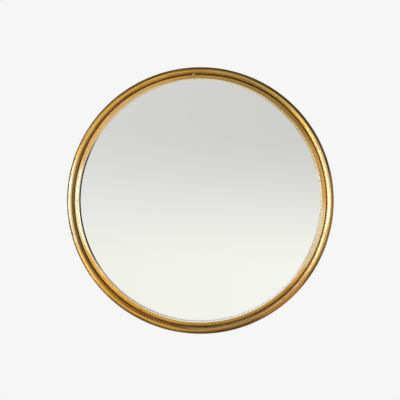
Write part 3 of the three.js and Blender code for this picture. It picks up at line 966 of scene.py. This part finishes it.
def washer(name, x, z, back):
    """A turned flat ring, moved out to its screw."""
    corners = [
        (screw_hole / 2, back),
        (screw_hole / 2, back + washer_thickness),
        (washer_radius, back + washer_thickness),
        (washer_radius, back),
    ]
    angle = np.linspace(0, 2 * np.pi, 64, endpoint=False)
    radius, depth = eased(corners, 0.00015, 3).T[:, :, None]
    points = np.stack([x + radius * np.sin(angle), -depth + 0 * angle, z + radius * np.cos(angle)], axis=-1)
    return shell(name, points, grid_faces(len(points), 64, True, True))


screw_zinc = zinc_plate("screw_zinc", 0.04)
recess_turns = [0.2, 1.1, 0.6, 1.4, 0.9, 0.35]
screw_ends = (washer_back - seat_gap, washer_back - seat_gap + button_screw_length)
for number, angle in enumerate(station_angles, 1):
    screw = pan_head_screw(f"screw_{number}", 0, pivot_circle, *screw_ends, recess_turns[number - 1])
    screw = swung(screw, angle)
    join(screw, screw_zinc, "zinc_plate", "mirror", f"button_screw_{number}")
    ring = swung(washer(f"washer_{number}", 0, pivot_circle, washer_back), angle)
    join(ring, screw_zinc, "zinc_plate", "mirror", f"button_washer_{number}")


# Hangers. A steel strip folded over a D-ring's bar, its two layers bolted flat on the board. The ring is
# bent from wire, its ends butted in the middle of the bar, inside the fold.
strap_width = 0.011
strap_sheet = 0.001
strap_length = 0.0125
strap_edge = 0.00018
strap_spacing = 0.0006  # keeps the tongue's points off the loop's end
strap_back = wall_space - seat_gap - 2 * strap_sheet
wire_radius = 0.00125
loop_bore = wire_radius + 0.00025
loop_radius = loop_bore + strap_sheet
loop_depth = wall_space - seat_gap - loop_radius
ring_half = 0.01025  # from the middle of the D-ring to its wire's centre line
ring_tall = 0.01525
ring_corner = 0.0025
wire_half_gap = 0.0002
nut_thickness = 0.0032
nut_across = 0.007
bolt_proud = 0.001  # past the nut


def folded_strap(name, x, z):
    """The strip's middle line runs up the board, round the loop and back along the tongue: lengths s give
    its height and depth. Its half width is that of a round end, sqrt(2 r e - e^2) at e from either tip.
    A rounded flat section stands across the line at each s."""
    middle = (loop_bore + loop_radius) / 2
    end = strap_width / 2
    meet = math.asin((2 * strap_sheet - loop_radius) / loop_radius)
    tip = end * (1 - np.cos(np.linspace(0, np.pi / 2, 14)))
    inner = -strap_length + np.concatenate([tip, np.linspace(end, strap_length, 8)[1:]])
    low = np.stack([inner, np.full(len(inner), strap_sheet / 2)], axis=1)
    wrap = np.linspace(-np.pi / 2, np.pi - meet, 36)
    loop = np.stack([middle * np.cos(wrap), loop_radius + middle * np.sin(wrap)], axis=1)
    top = inner[::-1]
    top = top[top < loop[-1, 0] - strap_spacing]
    high = np.stack([top, np.full(len(top), 1.5 * strap_sheet)], axis=1)
    line = np.concatenate([low, loop[1:], high])
    direction = np.gradient(line, axis=0)
    direction /= np.linalg.norm(direction, axis=1, keepdims=True)
    across = np.stack([-direction[:, 1], direction[:, 0]], axis=1)
    in_loop = (np.arange(len(line)) >= len(low)) & (np.arange(len(line)) < len(low) + len(loop) - 1)
    from_tip = np.where(in_loop, end, np.minimum(line[:, 0] + strap_length, end))
    half = np.sqrt(np.maximum(2 * end * from_tip - from_tip ** 2, 0))
    flat = strap_sheet / 2
    corner = eased([(-1, -flat), (1, -flat), (1, flat), (-1, flat)], strap_edge, 3)
    section_w = np.sign(corner[:, 0]) * np.maximum(half[:, None] - (1 - abs(corner[:, 0]))[None], 0)
    section_t = corner[:, 1]
    reach = line[:, None, 0] + across[:, None, 0] * section_t
    rise = line[:, None, 1] + across[:, None, 1] * section_t
    points = np.stack([x + section_w, rise - (wall_space - seat_gap), z + reach], axis=-1)
    rows, columns = points.shape[:2]
    ends = [list(range(columns - 1, -1, -1)), list(range((rows - 1) * columns, rows * columns))]
    return shell(name, points, grid_faces(rows, columns, False, True) + ends)


def d_ring(name, x, z):
    """A wire along a line that runs from the middle of the bar round the right corner, over the bow and
    back. The line lies in a plane that leans on the board, and the wire's ends are rounded. A point of the
    wire's circle lies w cos b along the line's normal in that plane, and w sin b off the plane."""
    bow = ring_tall - ring_half
    low_arc = np.linspace(-np.pi / 2, 0, 12)
    bow_arc = np.linspace(0, np.pi, 60)
    corner_x = ring_half - ring_corner + ring_corner * np.cos(low_arc)
    corner_z = ring_corner + ring_corner * np.sin(low_arc)
    right = np.concatenate([
        np.stack([np.linspace(wire_half_gap, ring_half - ring_corner, 10), np.zeros(10)], axis=1),
        np.stack([corner_x, corner_z], axis=1)[1:],
        np.stack([np.full(6, ring_half), np.linspace(ring_corner, bow, 6)], axis=1)[1:-1],
    ])
    arch = np.stack([ring_half * np.cos(bow_arc), bow + ring_half * np.sin(bow_arc)], axis=1)
    line = np.concatenate([right, arch, right[::-1] * (-1, 1)])
    turn = np.linspace(0, np.pi / 2, 6)[:-1]
    ease = 0.0004
    start = line[0] + np.stack([ease * (1 - np.cos(turn)), 0 * turn], axis=1)
    finish = (start * (-1, 1))[::-1]
    line = np.concatenate([start[:1], start, line[1:-1], finish, finish[-1:]])
    wire = np.full(len(line), wire_radius)
    wire[0] = wire[-1] = 0
    wire[1:6] = wire_radius - ease * (1 - np.sin(turn))
    wire[-6:-1] = wire[1:6][::-1]
    direction = np.gradient(line, axis=0)
    direction[:7] = (1, 0)
    direction[-7:] = (1, 0)
    direction /= np.linalg.norm(direction, axis=1, keepdims=True)
    around = np.linspace(0, 2 * np.pi, 20, endpoint=False)
    normal = np.stack([direction[:, 1], -direction[:, 0]], axis=1)
    flat = line[:, None] + normal[:, None] * (wire[:, None] * np.cos(around))[..., None]
    lift = wire[:, None] * np.sin(around)
    lean = math.asin((loop_radius - wire_radius) / ring_tall)
    y = lift * math.cos(lean) - flat[..., 1] * math.sin(lean)
    up_board = lift * math.sin(lean) + flat[..., 1] * math.cos(lean)
    points = np.stack([x + flat[..., 0], y - loop_depth, z + up_board], axis=-1)
    return shell(name, points, grid_faces(len(line), 20, False, True), 50)


strap_zinc = zinc_plate("strap_zinc", 0.06)
ring_zinc = zinc_plate("ring_zinc")
nut_corner = nut_across / math.sqrt(3)
nut_angle = np.radians(60 * np.arange(6))
hexagon = nut_corner * np.stack([np.cos(nut_angle), np.sin(nut_angle)], axis=1)
hexagon = eased(hexagon, 0.0002, 3)
washer_seat = board_front + seat_gap
nut_seat = washer_seat + washer_thickness + seat_gap
nut_sides = (nut_seat, nut_seat + nut_thickness)
bolt_ends = (strap_back - seat_gap, nut_seat + nut_thickness + bolt_proud)
for label, (x, z) in hanger_places.items():
    bolt_z = z - bolt_drop
    strap = drilled(folded_strap(f"strap_{label}", x, z), [(x, bolt_z)])
    join(strap, strap_zinc, "zinc_plate", "mirror", f"hanger_strap_{label}")
    join(d_ring(f"d_ring_{label}", x, z), ring_zinc, "zinc_plate", f"ring_{label}", f"hanger_ring_{label}")
    bolt = pan_head_screw(f"bolt_{label}", x, bolt_z, *bolt_ends, 0.5)
    join(bolt, screw_zinc, "zinc_plate", "mirror", f"hanger_bolt_{label}")
    ring = washer(f"bolt_washer_{label}", x, bolt_z, washer_seat)
    join(ring, screw_zinc, "zinc_plate", "mirror", f"hanger_washer_{label}")
    nut = carried(f"nut_{label}", hexagon, *nut_sides, 0.0002, lambda a, b, d: (x + a, -d, bolt_z + b))
    join(drilled(nut, [(x, bolt_z)]), screw_zinc, "zinc_plate", "mirror", f"hanger_nut_{label}")


# Bumpers. Two moulded rubber feet stuck to the board near its lower edge. Their narrower ends rest on the
# wall and keep the frame off it.
bumper_radius = 0.007
bumper_foot = 0.0055
bumper_top = wall_space - seat_gap
bumper_inset = 0.020
bumper_circle = board_radius - bumper_inset
bumper_spread = math.radians(20)
bumper_angles = {"right": math.pi - bumper_spread, "left": math.pi + bumper_spread}
bumper_corners = [
    (0, bumper_top),
    (bumper_radius, bumper_top),
    (bumper_radius, wall_space / 3),
    (bumper_foot, 0),
    (0, 0),
]
bumper_outline = eased(bumper_corners, [0, 0.0003, 0.0008, 0.0006, 0], 5)
rubber = bpy.data.materials.new("black_rubber")
gum = Tree(rubber)
spot = gum.place()
bloom = gum.noise(spot, 240.0, 5.0, 0.65)
grain = gum.noise(spot, 3200.0, 2.0)
gum.surface({
    "Base Color": gum.blend(gum.rise(bloom, 0.4, 0.75), (0.010, 0.010, 0.0105), (0.05, 0.05, 0.052)),
    "Roughness": 0.55 + 0.25 * bloom,
    "Normal": gum.bump(grain, 0.00004),
})
for label, angle in bumper_angles.items():
    foot_x, foot_z = bumper_circle * math.sin(angle), bumper_circle * math.cos(angle)
    foot = turned(f"bumper_{label}", bumper_outline, 64)
    foot = moved(foot, lambda x, y, z: (x + foot_x, y, z + foot_z))
    join(foot, rubber, "black_rubber", "mirror", f"wall_bumper_{label}")
